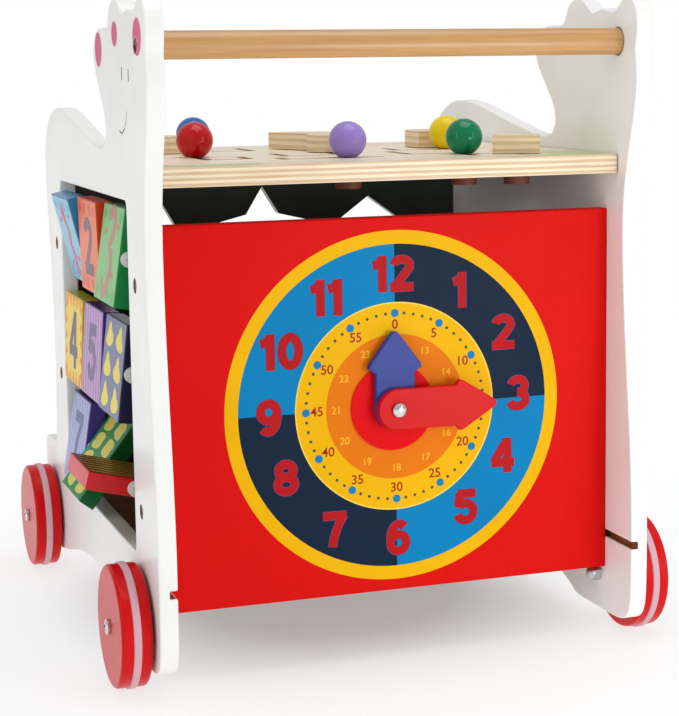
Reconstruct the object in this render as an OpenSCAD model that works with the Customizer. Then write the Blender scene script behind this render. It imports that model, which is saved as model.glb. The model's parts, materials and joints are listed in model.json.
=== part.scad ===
// Baby walker with an activity body. Two hippo-shaped side panels hold a clock panel in front, a
// shape-sorter panel behind, a slotted top board with sliding pieces and a thin floor board.
// Nine number tiles turn on three rods in the left side panel.
// Origin: on the floor, under the middle of the outline. +X is the right side and +Y is the back.

/* [Body] */
// Clear width between the two side panels
inner_w = 311; // [255:1:380]
// Depth from the front of the clock panel to the back of the sorter panel
body_d = 286; // [236:1:350]
// How far the middle of the body lies in front of the origin
body_forward = 20; // [0:1:30]
// Thickness of the side panels
side_t = 12; // [10:0.5:18]
// Height of the foot soles of the side panels above the floor
sole_z = 15; // [8:1:22]
// Thickness of the clock panel
clock_t = 12; // [10:0.5:16]
// Height of the clock panel's lower edge above the floor
clock_bottom = 47; // [42:1:58]
// Height of the clock panel's upper edge above the floor
clock_top = 295; // [280:1:300]
// Thickness of the sorter panel
sorter_t = 9; // [6:0.5:14]

/* [Top board] */
// Height of the top board's upper face above the floor
board_top = 332; // [324:1:345]
// Thickness of the top board
board_t = 12.5; // [10:0.5:15]
// How far the top board stands in front of the clock panel
board_overhang = 16; // [6:1:20]
// Gap between the top board and the sorter panel, for small fingers
board_back_gap = 27; // [5:1:40]
// Gap between the top board and each side panel
board_end_gap = 1; // [0.5:0.5:3]
// Width of the slots in the top board
slot_w = 7; // [6.5:0.5:9]

/* [Floor board] */
// Height of the floor board's groove above the floor
groove_z = 68; // [60:1:76]
// Height of the groove
groove_h = 5; // [4:0.5:7]
// Depth of the groove in the side panels
groove_depth = 5; // [3:0.5:7]
// Thickness of the floor board
floor_t = 4.6; // [3:0.1:4.8]

/* [Handle] */
// Diameter of the handle
handle_dia = 17.5; // [15:0.5:21]
// Height of the handle's centre above the floor
handle_z = 406; // [395:1:490]
// How far the handle stands in front of the clock panel
handle_forward = 14; // [5:1:25]
// How deep the handle's ends sit in the side panels
handle_seat = 5; // [3:0.5:6]

/* [Wheels] */
// Diameter of the wheel over its rubber ring
wheel_dia = 81; // [66:1:98]
// Thickness of the wooden wheel
wheel_t = 20; // [14:1:26]
// Gap between a wheel and its side panel
wheel_gap = 2; // [1.5:0.5:4]
// Width of the rubber ring
ring_w = 5; // [3:0.5:8]
// How far the rubber ring stands proud of the wood
ring_proud = 1; // [0.5:0.5:2]
// Depth of the ring's groove
ring_depth = 3; // [2:0.5:5]
// Diameter of the axle bolts
axle_dia = 6; // [5:0.5:8]
// Distance of the front axle behind the clock panel's front face
front_axle_back = 10; // [0:1:20]
// Distance of the rear axle behind the sorter panel's back face
rear_axle_back = 42; // [30:1:50]

/* [Tiles] */
// Thickness of a number tile
tile_t = 12; // [9:0.5:14]
// Room above and below each tile as it turns
tile_row_gap = 10.5; // [6:0.5:16]
// Gap between neighbouring tiles on a rod
tile_gap = 4; // [3:0.5:8]
// Diameter of the tile rods
rod_dia = 4; // [3:0.5:5]
// Diameter of the washers on the rods
rod_washer_dia = 10.5; // [8:0.5:11.5]
// Thickness of the washers on the rods
rod_washer_t = 3; // [1.5:0.5:3.5]

/* [Clock] */
// Sideways place of the clock's centre
clock_x = 0; // [-10:0.5:10]
// Height of the clock's centre above the floor
clock_z = 170.5; // [160:0.5:180]
// Thickness of the clock hands
hand_t = 5; // [3:0.5:7]
// Length of the minute hand from its pivot
minute_len = 69; // [55:1:80]
// Length of the hour hand from its pivot
hour_len = 50.5; // [40:0.5:54]
// Width of the hands' shafts
hand_w = 27; // [20:1:30]
// Diameter of the clock's pivot bolt
pivot_dia = 5; // [4:0.5:6]

/* [Sliding pieces] */
// Diameter of the balls
ball_dia = 25; // [20:0.5:27]
// Thickness of the plywood sliding shapes
slider_t = 12; // [9:0.5:14]
// Diameter of the retainer discs below the board
retainer_dia = 17.5; // [14:0.5:20]
// Thickness of the retainer discs
retainer_t = 7; // [3:0.5:8]
// Diameter of the necks that run in the slots
neck_dia = 6; // [4:0.5:6]

/* [Hidden] */

// Clearances: glued or pressed, turning on a shaft, and sliding past
push_clear = 0.05;
turn_clear = 0.08;
slide_clear = 0.4;
round_fn = 64;
past = 1; // how far a cut runs past the face it opens

// Faces of the body, front to back
clock_y0 = -body_d / 2 - body_forward;
clock_y1 = clock_y0 + clock_t;
sorter_y1 = clock_y0 + body_d;
sorter_y0 = sorter_y1 - sorter_t;
side_in = inner_w / 2;
side_out = side_in + side_t;

// Top board
board_bottom = board_top - board_t;
board_y0 = clock_y0 - board_overhang;
board_y1 = sorter_y0 - board_back_gap;
board_d = board_y1 - board_y0;
board_half = side_in - board_end_gap;

// Handle and axles
handle_y = clock_y0 - handle_forward;
axle_z = wheel_dia / 2;
front_axle_y = clock_y0 + front_axle_back;
rear_axle_y = sorter_y1 + rear_axle_back;
wheel_in = side_out + wheel_gap;
wheel_out = wheel_in + wheel_t;

// Window for the tiles, and the tiles in it: columns front to back, rows top to bottom
window_y0 = clock_y1 + 13.5;
window_y1 = sorter_y0 - 14.5;
window_z0 = groove_z + groove_h + 10;
window_z1 = board_bottom - 10;
window_corner = 6;
tile_front_gap = 26;
tile_back_gap = 5.5;
rod_drop = 1.75; // the rods lie this far below the middle of their row
tile_w = (window_y1 - window_y0 - tile_front_gap - tile_back_gap - 2 * tile_gap) / 3;
row_pitch = (window_z1 - window_z0) / 3;
tile_h = row_pitch - tile_row_gap;
rod_x = -(side_in + side_out) / 2;
rod_front_hold = 8;
rod_back_end = sorter_y1 + 17;
// How far the top of each tile leans outward at rest, in degrees, tile 1 to tile 9
tile_lean = [13.5, 1.5, -8.5, -2.5, -4, -7, -9, -38, 76];

// Screws through the side panels
screw_dia = 5;
screw_head_dia = 9.4;
screw_head_t = 3;
screw_sink = 1;
screw_len = 38;
clock_bolt_z = [clock_bottom + 67, clock_top - 37];
sorter_bolt_z = [clock_bottom + 114, clock_bottom + 214];

// Dowel pins of the top board
dowel_dia = 6;
dowel_in_board = 25;
dowel_in_side = 8;
dowel_y = [board_y0 + 0.17 * board_d, board_y0 + 0.9 * board_d];

// Clock hands, from the panel outward
disc_r = 28.7;
disc_t = 1.6;
disc_y = clock_y0 - disc_t;
hour_y = disc_y - slide_clear - hand_t;
minute_y = hour_y - slide_clear - hand_t;
pivot_head_y = minute_y - slide_clear;
hour_head_w = 37;
minute_head_w = 34;

// Sliding pieces: ball centre above the board, foot of the ball, and the retainer's faces
piece_z = board_top + slide_clear;
ball_drop = 11;
retainer_top = board_bottom - 1;
spigot_dia = 4;
spigot_len = 6;
slot_end_extra = 0.3;

// ---------------------------------------------------------------- curves

function spline_point(a, b, c, d, t) =
    0.5 * (2 * b + (c - a) * t + (2 * a - 5 * b + 4 * c - d) * t * t
           + (3 * b - a - 3 * c + d) * t * t * t);

// Smooth closed curve through the points
function closed_curve(p, steps = 4) = let (n = len(p))
    [for (i = [0:n - 1]) for (s = [0:steps - 1])
        spline_point(p[(i + n - 1) % n], p[i], p[(i + 1) % n], p[(i + 2) % n], s / steps)];

function moved(p, by) = [for (q = p) q + by];

// Points given as a share of the way from one depth to another, and a height
function along(p, from, to, z) = [for (q = p) [from + q[0] * (to - from), z + q[1]]];

// Corners of a regular polygon, the first at the given angle
function regular(n, r, first) =
    [for (i = [0:n - 1]) r * [cos(first + i * 360 / n), sin(first + i * 360 / n)]];

// ---------------------------------------------------------------- hippo outline

// Sole and toe, from the axle and the sole height
front_foot = moved([[35, 0.3], [8, 0], [-18, 0], [-32, 1.2], [-41, 5], [-46, 12.5], [-48, 26]],
                   [front_axle_y, sole_z]);
// Chest, from the clock panel's front face and lower edge
chest = moved([[-38.5, 24], [-38, 53], [-36, 84], [-33, 114], [-29.5, 144], [-26, 178], [-23.5, 213],
               [-23, 243], [-26, 268], [-32, 293]], [clock_y0, clock_bottom]);
// Cheek, front ear, brow, rear ear, snout and throat, from the centre of the handle
head = moved([[-24.5, -44], [-27.2, -23], [-25, -6], [-27.5, 8], [-25, 20.5], [-17.5, 27.5], [-9, 28.3],
              [-1, 24], [6, 19.8], [14, 20.5], [22, 22], [31, 21], [38, 19.8], [45, 23.5], [54, 28.8],
              [65, 29.8], [75.5, 25.5], [80.5, 17], [87, 12.5], [102, 12.5], [117, 11.3], [127, 6],
              [131, -3], [127.5, -14], [118, -25], [108, -35], [100, -44.5], [97, -54]],
             [handle_y, handle_z]);
neck_y = handle_y + 100;
rump_y = sorter_y1 + 34;
// Back of the neck, saddle and hump, from the throat to the rump, above the top board
hump = along([[0.005, 12.5], [0.035, 9.3], [0.085, 8.4], [0.16, 10.2], [0.27, 14.5], [0.4, 20],
              [0.53, 26], [0.65, 30.3], [0.752, 31.5], [0.846, 28.6], [0.915, 22], [0.966, 12.5],
              [0.995, 1], [1.006, -14]], neck_y, rump_y, board_top);
// Rump, from the sorter panel's back face and the clock panel's lower edge
rump = moved([[0.5, 250], [-3.5, 222], [-9, 193], [-12, 163], [-13, 133], [-12, 103], [-9, 78],
              [-6.5, 63]], [rump_y, clock_bottom]);
// Hind foot, from the axle and the sole height
hind_foot = moved([[-11, 87], [2, 85], [24, 84.4], [33, 81.5], [36, 73], [36.5, 45], [36, 23], [33, 10],
                   [24, 2], [7, 0], [-9, 0.3], [-19, 1.5]], [rear_axle_y, sole_z]);
// Belly between the two feet
belly = along([[0.881, 4.8], [0.802, 10.3], [0.708, 17.5], [0.613, 23], [0.519, 25.5], [0.425, 24.3],
               [0.33, 20], [0.236, 13.5], [0.173, 8], [0.138, 3.8]], front_axle_y, rear_axle_y, sole_z);

hippo_outline = closed_curve(concat(front_foot, chest, head, hump, rump, hind_foot, belly), 3);

// ---------------------------------------------------------------- helpers

// Extrudes a YZ outline along +X
module along_x(length) {
    rotate([90, 0, 90])
        linear_extrude(length) children();
}

// Round bar along +X from x0
module bar_x(x0, length, dia, fn = round_fn) {
    translate([x0, 0, 0])
        rotate([0, 90, 0])
            cylinder(h = length, d = dia, $fn = fn);
}

// Round bar along +Y from y0
module bar_y(y0, length, dia, fn = round_fn) {
    translate([0, y0, 0])
        rotate([-90, 0, 0])
            cylinder(h = length, d = dia, $fn = fn);
}

// Repeats a right-hand piece on the left
module both_sides() {
    children();
    mirror([1, 0, 0]) children();
}

// Places a child at the two axles of one side
module at_axles() {
    for (y = [front_axle_y, rear_axle_y])
        translate([0, y, axle_z]) children();
}

// Places a child at the screws of the right-hand side panel
module at_screws() {
    for (z = clock_bolt_z)
        translate([0, (clock_y0 + clock_y1) / 2, z]) children();
    for (z = sorter_bolt_z)
        translate([0, (sorter_y0 + sorter_y1) / 2, z]) children();
}

// Cross recess in a screw head whose outer face is at x
module cross_recess(x, size, depth) {
    for (turn = [45, 135])
        translate([x - depth, 0, 0])
            rotate([turn, 0, 0])
                translate([0, -size / 2, -size / 8])
                    cube([depth + past, size, size / 4]);
}

// Sunk screw of the right-hand side: flat head, shank towards the middle
module side_screw() {
    difference() {
        union() {
            bar_x(side_out - screw_sink - screw_head_t, screw_head_t, screw_head_dia);
            bar_x(side_out - screw_sink - screw_head_t - screw_len, screw_len + past, screw_dia);
        }
        cross_recess(side_out - screw_sink, 5.5, 1.6);
    }
}

// Hole for a sunk screw in the right-hand side panel
module side_screw_hole() {
    bar_x(side_out - screw_sink - screw_head_t, screw_sink + screw_head_t + past, screw_head_dia + 0.4);
    bar_x(side_in - past, side_t + 2 * past, screw_dia + 2 * push_clear);
}

// Pilot hole for the same screw in the end of a board
module side_screw_pilot() {
    bar_x(side_out - screw_sink - screw_head_t - screw_len - push_clear, screw_len + past,
          screw_dia + 2 * push_clear);
}

// ---------------------------------------------------------------- side panels

// Right-hand side panel without anything cut for the tiles
module side_panel() {
    difference() {
        translate([side_in, 0, 0])
            along_x(side_t) polygon(hippo_outline);
        translate([side_in - past, clock_y0 - 60, groove_z])
            cube([groove_depth + past, sorter_y0 - clock_y0 + 60, groove_h]);
        at_axles() bar_x(side_in - past, side_t + 2 * past, axle_dia + 2 * push_clear);
        at_screws() side_screw_hole();
        translate([0, handle_y, handle_z]) {
            side_screw_hole();
            bar_x(side_in - past, handle_seat + past, handle_dia + 1.5);
        }
        for (y = dowel_y)
            translate([0, y, (board_top + board_bottom) / 2])
                bar_x(side_in - past, dowel_in_side + past, dowel_dia + 2 * push_clear);
    }
}

// Window outline with rounded corners, in Y and Z
module window_outline() {
    r = window_corner;
    translate([window_y0 + r, window_z0])
        square([window_y1 - window_y0 - 2 * r, window_z1 - window_z0]);
    translate([window_y0, window_z0 + r])
        square([window_y1 - window_y0, window_z1 - window_z0 - 2 * r]);
    for (y = [window_y0 + r, window_y1 - r])
        for (z = [window_z0 + r, window_z1 - r])
            translate([y, z]) circle(r, $fn = round_fn);
}

module left_side_panel() {
    color("white")
        difference() {
            mirror([1, 0, 0]) side_panel();
            translate([-side_out - past, 0, 0])
                along_x(side_t + 2 * past) window_outline();
            for (row = [0:2])
                translate([rod_x, 0, row_z(row)])
                    bar_y(window_y0 - rod_front_hold - push_clear, sorter_y1 - clock_y0 + 60,
                          rod_dia + 2 * push_clear);
        }
}

module right_side_panel() {
    color("white") side_panel();
}

// ---------------------------------------------------------------- panels and boards

module clock_panel() {
    color("red")
        difference() {
            translate([-side_in, clock_y0, clock_bottom])
                cube([inner_w, clock_t, clock_top - clock_bottom]);
            both_sides() at_screws() side_screw_pilot();
            translate([clock_x, 0, clock_z])
                bar_y(clock_y0 - past, clock_t + 2 * past, pivot_dia + 2 * push_clear);
        }
}

// Cut-outs of the sorter panel: size, centre and shape of each
sorter_hole_z = board_bottom - 61;
sorter_star = [for (i = [0:9]) (i % 2 == 0 ? 40.5 : 23) * [cos(90 + i * 36), sin(90 + i * 36)]];
sorter_shapes = [[-102, regular(6, 33, 0)], [-6, sorter_star], [82, regular(5, 30, 90)]];

module sorter_panel() {
    color([0.06, 0.09, 0.07])
        difference() {
            translate([-side_in, sorter_y0, clock_bottom])
                cube([inner_w, sorter_t, board_bottom - clock_bottom]);
            both_sides() at_screws() side_screw_pilot();
            for (s = sorter_shapes)
                translate([s[0], sorter_y1 + past, sorter_hole_z])
                    rotate([90, 0, 0])
                        linear_extrude(sorter_t + 2 * past) polygon(s[1]);
        }
}

module floor_board() {
    reach = side_in + groove_depth - slide_clear;
    color("peru")
        translate([-reach, clock_y1 + push_clear, groove_z])
            cube([2 * reach, sorter_y0 - clock_y1 - 2 * push_clear, floor_t]);
}

// A place on the top board: sideways from the left end, the middle or the right end, and a
// share in percent of the board's depth from its front edge
function left_place(x, pc) = [x - board_half, board_y0 + pc / 100 * board_d];
function mid_place(x, pc) = [x, board_y0 + pc / 100 * board_d];
function right_place(x, pc) = [board_half - x, board_y0 + pc / 100 * board_d];

// Slots, each a run of straight stretches
slots = [
    [left_place(50.5, 54), left_place(50.5, 29.5), left_place(78.5, 29.5), left_place(78.5, 39)],
    [left_place(77.5, 95), left_place(77.5, 73), left_place(110.5, 69.5), left_place(110.5, 85.5)],
    [mid_place(8, 22), mid_place(-56, 22), mid_place(-56, 29.5)],
    [right_place(85.5, 15), right_place(85.5, 29), right_place(117.5, 29), right_place(117.5, 44.5)],
    [right_place(44.5, 50.5), right_place(104.5, 50.5), right_place(104.5, 61.5)],
    [left_place(42.5, 67), left_place(42.5, 90)],
    [mid_place(-5, 78.5), mid_place(-5, 37.5), mid_place(-44, 37.5), mid_place(-44, 50.5)],
    [right_place(57.5, 66), right_place(57.5, 85)],
    [right_place(51.5, 13.5), right_place(51.5, 33)]];

// Where each sliding piece stands at rest: the five balls, then the four shapes
ball_places = [left_place(50.5, 43), left_place(77.5, 85), mid_place(-14, 22), right_place(85.5, 22),
               right_place(68, 50.5)];
slider_places = [left_place(42.5, 68), mid_place(-5, 61), right_place(57.5, 66.5),
                 right_place(51.5, 18)];

// One straight stretch of a slot, with its ends drilled a little wider than the stretch
module slot_stretch(a, b) {
    run = b - a;
    depth = board_t + 2 * past;
    for (end = [a, b])
        translate([end[0], end[1], board_bottom - past])
            cylinder(h = depth, d = slot_w + slot_end_extra, $fn = round_fn);
    translate([a[0], a[1], board_bottom - past])
        rotate([0, 0, atan2(run[1], run[0])])
            translate([0, -slot_w / 2, 0])
                cube([norm(run), slot_w, depth]);
}

module top_board() {
    color("burlywood")
        difference() {
            translate([-board_half, board_y0, board_bottom])
                cube([2 * board_half, board_d, board_t]);
            for (s = slots)
                for (i = [0:len(s) - 2])
                    slot_stretch(s[i], s[i + 1]);
            both_sides() board_dowel_pair(push_clear);
        }
}

// The two dowel pins at the right-hand end, grown by a clearance
module board_dowel_pair(grow) {
    x0 = board_half - dowel_in_board - grow;
    for (y = dowel_y)
        translate([0, y, (board_top + board_bottom) / 2])
            bar_x(x0, side_in + dowel_in_side - x0 - push_clear + grow, dowel_dia + 2 * grow);
}

module board_dowels() {
    color("wheat")
        both_sides() board_dowel_pair(0);
}

// ---------------------------------------------------------------- handle and fasteners

module handle() {
    reach = side_in + handle_seat - push_clear;
    color("tan")
        translate([0, handle_y, handle_z])
            difference() {
                bar_x(-reach, 2 * reach, handle_dia);
                both_sides() side_screw_pilot();
            }
}

module handle_bolts() {
    color("silver")
        both_sides() translate([0, handle_y, handle_z]) side_screw();
}

module panel_bolts() {
    color("silver")
        both_sides() at_screws() side_screw();
}

// ---------------------------------------------------------------- wheels

// Section of a plain ring with rounded outer corners, from the axis outward
module wheel_section(r_in, r_out, t, corner) {
    translate([r_in, -t / 2])
        square([r_out - corner - r_in, t]);
    translate([r_in, -t / 2 + corner])
        square([r_out - r_in, t - 2 * corner]);
    for (side = [-1, 1])
        translate([r_out - corner, side * (t / 2 - corner)]) circle(corner, $fn = 48);
}

wood_r = wheel_dia / 2 - ring_proud;
wheel_corner = 2.5;
axle_head_r = 5;
axle_head_t = 3;

module at_wheel(side, y) {
    translate([side * (wheel_in + wheel_out) / 2, y, axle_z])
        rotate([0, 90, 0]) children();
}

module wheel(side, y) {
    color("red")
        at_wheel(side, y)
            rotate_extrude($fn = 96)
                difference() {
                    wheel_section(axle_dia / 2 + turn_clear, wood_r, wheel_t, wheel_corner);
                    translate([wood_r - ring_depth, -ring_w / 2])
                        square([ring_depth + past, ring_w]);
                }
}

module tyre(side, y) {
    r_in = wood_r - ring_depth;
    color("thistle")
        at_wheel(side, y)
            rotate_extrude($fn = 96)
                wheel_section(r_in, wheel_dia / 2, ring_w, 1.2);
}

// Turned pan head on the Z axis: flat underside at 0, domed top at the given height
module pan_head(r, t) {
    dome = (r * r + t * t / 4) / t;
    rotate_extrude($fn = round_fn)
        intersection() {
            square([r, t]);
            translate([0, t - dome]) circle(dome, $fn = 96);
        }
}

module axle_bolts() {
    head_x = wheel_out + slide_clear;
    color("silver")
        both_sides() at_axles() {
            bar_x(side_in - 6, head_x - side_in + 6 + past, axle_dia);
            difference() {
                translate([head_x, 0, 0])
                    rotate([0, 90, 0]) pan_head(axle_head_r, axle_head_t);
                cross_recess(head_x + axle_head_t, 5.5, 1.8);
            }
        }
}

module axle_washers() {
    color("gainsboro")
        both_sides() at_axles()
            difference() {
                bar_x(side_out, wheel_gap - slide_clear, 14);
                bar_x(side_out - past, wheel_gap + 2 * past, axle_dia + 2 * push_clear);
            }
}

module axle_nuts() {
    color("silver")
        both_sides() at_axles()
            difference() {
                union() {
                    bar_x(side_in - 5, 5, 11.5, 6);
                    translate([side_in - 5, 0, 0]) sphere(4.8, $fn = 48);
                }
                bar_x(side_in - 6 - push_clear, 6 + past, axle_dia + 2 * push_clear);
            }
}

// ---------------------------------------------------------------- tiles

function row_z(row) = window_z1 - (row + 0.5) * row_pitch - rod_drop;
function tile_y0(col) = window_y0 + tile_front_gap + (2 - col) * (tile_w + tile_gap);

// Tile number i, counted from 0: back to front in a row, and rows from the top
module tile(i, colour) {
    col = i % 3;
    color(colour)
        translate([rod_x, tile_y0(col), row_z(floor(i / 3))])
            rotate([0, -tile_lean[i], 0])
                difference() {
                    translate([-tile_t / 2, 0, -tile_h / 2])
                        cube([tile_t, tile_w, tile_h]);
                    bar_y(-past, tile_w + 2 * past, rod_dia + 2 * turn_clear);
                }
}

module tile_rods() {
    y0 = window_y0 - rod_front_hold;
    color("silver")
        for (row = [0:2])
            translate([rod_x, 0, row_z(row)])
                bar_y(y0, rod_back_end - y0, rod_dia);
}

// Washers before, between and behind the three tiles of each rod
module tile_washers() {
    gap_clear = (tile_gap - rod_washer_t) / 2;
    behind = tile_y0(0) + tile_w + gap_clear;
    before = [for (col = [0:2]) tile_y0(col) - tile_gap + gap_clear];
    color("whitesmoke")
        for (row = [0:2])
            for (y = concat([behind], before))
                translate([rod_x, 0, row_z(row)])
                    difference() {
                        bar_y(y, rod_washer_t, rod_washer_dia);
                        bar_y(y - past, rod_washer_t + 2 * past, rod_dia + 2 * push_clear);
                    }
}

// ---------------------------------------------------------------- clock

module at_clock() {
    translate([clock_x, 0, clock_z]) children();
}

module clock_disc() {
    color("crimson")
        at_clock()
            difference() {
                bar_y(disc_y, disc_t, 2 * disc_r, 96);
                bar_y(disc_y - past, disc_t + 2 * past, pivot_dia + 2 * push_clear);
            }
}

// Points on an arc round a centre, from one angle to another
function arc(centre, r, from, to, n) =
    [for (i = [0:n]) let (a = from + (to - from) * i / n) centre + r * [cos(a), sin(a)]];

// Flat arrow that points up from its pivot: round foot, straight shaft, wider head, blunt tip
module arrow(length, shaft_w, head_w, head_from, tip_r) {
    half = head_w / 2;
    polygon(concat(arc([0, 0], shaft_w / 2, 180, 360, 24),
                   [[shaft_w / 2, head_from], [half, head_from + 3], [half - 1, head_from + 6]],
                   arc([0, length - tip_r], tip_r, 35, 145, 6),
                   [[1 - half, head_from + 6], [-half, head_from + 3], [-shaft_w / 2, head_from]]));
}

module hand_plate(y) {
    at_clock()
        difference() {
            translate([0, y + hand_t, 0])
                rotate([90, 0, 0])
                    linear_extrude(hand_t) children();
            bar_y(y - past, hand_t + 2 * past, pivot_dia + 2 * turn_clear);
        }
}

module hour_hand() {
    color("slateblue")
        hand_plate(hour_y) arrow(hour_len, hand_w, hour_head_w, hour_len - 27, 3);
}

module minute_hand() {
    color("red")
        hand_plate(minute_y)
            rotate([0, 0, -90]) arrow(minute_len, hand_w, minute_head_w, minute_len - 29, 3);
}

pivot_nut_t = 4;

module clock_pivot_bolt() {
    color("silver")
        at_clock() {
            bar_y(pivot_head_y - past, clock_y1 + pivot_nut_t - pivot_head_y + past, pivot_dia);
            translate([0, pivot_head_y, 0])
                rotate([90, 0, 0]) pan_head(4.5, 3);
        }
}

module clock_pivot_nut() {
    color("silver")
        at_clock()
            difference() {
                bar_y(clock_y1, pivot_nut_t, 9.2, 6);
                bar_y(clock_y1 - past, pivot_nut_t + 2 * past, pivot_dia + 2 * push_clear);
            }
}

// ---------------------------------------------------------------- sliding pieces

// Neck in the slot, disc below it, and a spigot that is glued into the piece above
module retainer(place) {
    color("peru")
        translate([place[0], place[1], 0]) {
            translate([0, 0, retainer_top - retainer_t])
                cylinder(h = retainer_t, d = retainer_dia, $fn = round_fn);
            translate([0, 0, retainer_top - past])
                cylinder(h = piece_z - retainer_top + past, d = neck_dia, $fn = round_fn);
            translate([0, 0, piece_z - past])
                cylinder(h = spigot_len + past, d = spigot_dia, $fn = round_fn);
        }
}

module spigot_hole() {
    translate([0, 0, piece_z - past])
        cylinder(h = spigot_len + push_clear + past, d = spigot_dia + 2 * push_clear, $fn = round_fn);
}

module ball(place, colour) {
    color(colour)
        translate([place[0], place[1], 0])
            difference() {
                translate([0, 0, piece_z + ball_drop]) sphere(d = ball_dia, $fn = 96);
                translate([-ball_dia, -ball_dia, piece_z - ball_dia])
                    cube([2 * ball_dia, 2 * ball_dia, ball_dia]);
                spigot_hole();
            }
}

module slider(place, turn = 0) {
    color("wheat")
        translate([place[0], place[1], 0])
            difference() {
                translate([0, 0, piece_z])
                    rotate([0, 0, turn])
                        linear_extrude(slider_t) children();
                spigot_hole();
            }
}

module house_shape() {
    polygon([[-19, -15], [19, -15], [19, 6], [0, 22], [-19, 6]]);
}

module cloud_shape() {
    polygon([[-22, 39], [-5, 2], [-9, -22], [19, -22], [22, 5], [19, 32], [0, 42]]);
    translate([5, -25]) circle(16.5, $fn = round_fn);
}

module hill_shape() {
    translate([-25, -25]) square([48, 26]);
    translate([-9, 1]) circle(16, $fn = round_fn);
    translate([11, 1]) circle(12, $fn = round_fn);
}

module block_shape() {
    translate([-16, -12]) square([32, 18]);
    translate([-8, 6]) circle(8, $fn = round_fn);
    translate([8, 6]) circle(8, $fn = round_fn);
}

// ---------------------------------------------------------------- drawing

tile_colours = ["skyblue", "tomato", "limegreen", "gold", "plum", "slategray", "mediumslateblue",
                "seagreen", "firebrick"];
ball_colours = ["red", "royalblue", "mediumpurple", "green", "yellow"];

left_side_panel();
right_side_panel();
clock_panel();
sorter_panel();
top_board();
floor_board();
handle();
handle_bolts();
panel_bolts();
board_dowels();
tile_rods();
tile_washers();
axle_bolts();
axle_washers();
axle_nuts();
clock_disc();
clock_pivot_bolt();
clock_pivot_nut();
hour_hand();
minute_hand();
wheel(-1, front_axle_y);  // wheel_front_left
wheel(1, front_axle_y);  // wheel_front_right
wheel(-1, rear_axle_y);  // wheel_rear_left
wheel(1, rear_axle_y);  // wheel_rear_right
tyre(-1, front_axle_y);  // tyre_front_left
tyre(1, front_axle_y);  // tyre_front_right
tyre(-1, rear_axle_y);  // tyre_rear_left
tyre(1, rear_axle_y);  // tyre_rear_right
tile(0, tile_colours[0]);  // tile_1
tile(1, tile_colours[1]);  // tile_2
tile(2, tile_colours[2]);  // tile_3
tile(3, tile_colours[3]);  // tile_4
tile(4, tile_colours[4]);  // tile_5
tile(5, tile_colours[5]);  // tile_6
tile(6, tile_colours[6]);  // tile_7
tile(7, tile_colours[7]);  // tile_8
tile(8, tile_colours[8]);  // tile_9
ball(ball_places[0], ball_colours[0]);  // ball_red
ball(ball_places[1], ball_colours[1]);  // ball_blue
ball(ball_places[2], ball_colours[2]);  // ball_purple
ball(ball_places[3], ball_colours[3]);  // ball_green
ball(ball_places[4], ball_colours[4]);  // ball_yellow
retainer(ball_places[0]);  // ball_retainer_red
retainer(ball_places[1]);  // ball_retainer_blue
retainer(ball_places[2]);  // ball_retainer_purple
retainer(ball_places[3]);  // ball_retainer_green
retainer(ball_places[4]);  // ball_retainer_yellow
slider(slider_places[0]) house_shape();  // slider_house
slider(slider_places[1]) cloud_shape();  // slider_cloud
slider(slider_places[2]) hill_shape();  // slider_hill
slider(slider_places[3], -25) block_shape();  // slider_block
retainer(slider_places[0]);  // slider_retainer_house
retainer(slider_places[1]);  // slider_retainer_cloud
retainer(slider_places[2]);  // slider_retainer_hill
retainer(slider_places[3]);  // slider_retainer_block
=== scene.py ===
"""Looks of the baby walker: materials, rounded edges, printed artwork, light, floor and camera."""

import json
import math

import bmesh
import bpy
from mathutils import Matrix, Vector


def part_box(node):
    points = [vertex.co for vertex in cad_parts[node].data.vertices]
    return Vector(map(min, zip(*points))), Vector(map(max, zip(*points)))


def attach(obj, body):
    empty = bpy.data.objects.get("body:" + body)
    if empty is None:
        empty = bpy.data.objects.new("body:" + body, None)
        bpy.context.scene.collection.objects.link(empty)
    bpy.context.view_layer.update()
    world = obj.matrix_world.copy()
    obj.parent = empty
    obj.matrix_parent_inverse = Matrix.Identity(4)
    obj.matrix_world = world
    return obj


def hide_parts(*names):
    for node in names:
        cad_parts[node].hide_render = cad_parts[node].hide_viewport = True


MM = 0.001
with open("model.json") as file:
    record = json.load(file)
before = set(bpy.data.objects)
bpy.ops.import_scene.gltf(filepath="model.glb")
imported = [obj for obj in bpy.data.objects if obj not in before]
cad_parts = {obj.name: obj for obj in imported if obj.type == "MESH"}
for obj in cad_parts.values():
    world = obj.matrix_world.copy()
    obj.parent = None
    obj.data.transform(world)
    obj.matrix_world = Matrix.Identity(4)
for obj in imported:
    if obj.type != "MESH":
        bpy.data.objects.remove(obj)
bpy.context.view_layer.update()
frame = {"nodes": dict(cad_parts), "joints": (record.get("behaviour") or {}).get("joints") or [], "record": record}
record = frame["record"]
body_of = {node: body for body, nodes in record["behaviour"]["bodies"].items() for node in nodes}
slot_of = {entry["node"]: entry["material_slot"] for entry in record["subparts"]}
joint_at = {joint["child"]: Vector(joint["pos_m"]) for joint in frame["joints"] if "pos_m" in joint}
scene = bpy.context.scene
X, Y, Z = Vector((1, 0, 0)), Vector((0, 1, 0)), Vector((0, 0, 1))

# ---------------------------------------------------------------- colours and materials


def colour(code):
    """Linear colour of an sRGB hex code."""
    parts = [int(code[i : i + 2], 16) / 255 for i in (0, 2, 4)]
    linear = [c / 12.92 if c <= 0.04045 else ((c + 0.055) / 1.055) ** 2.4 for c in parts]
    return (*linear, 1.0)


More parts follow.
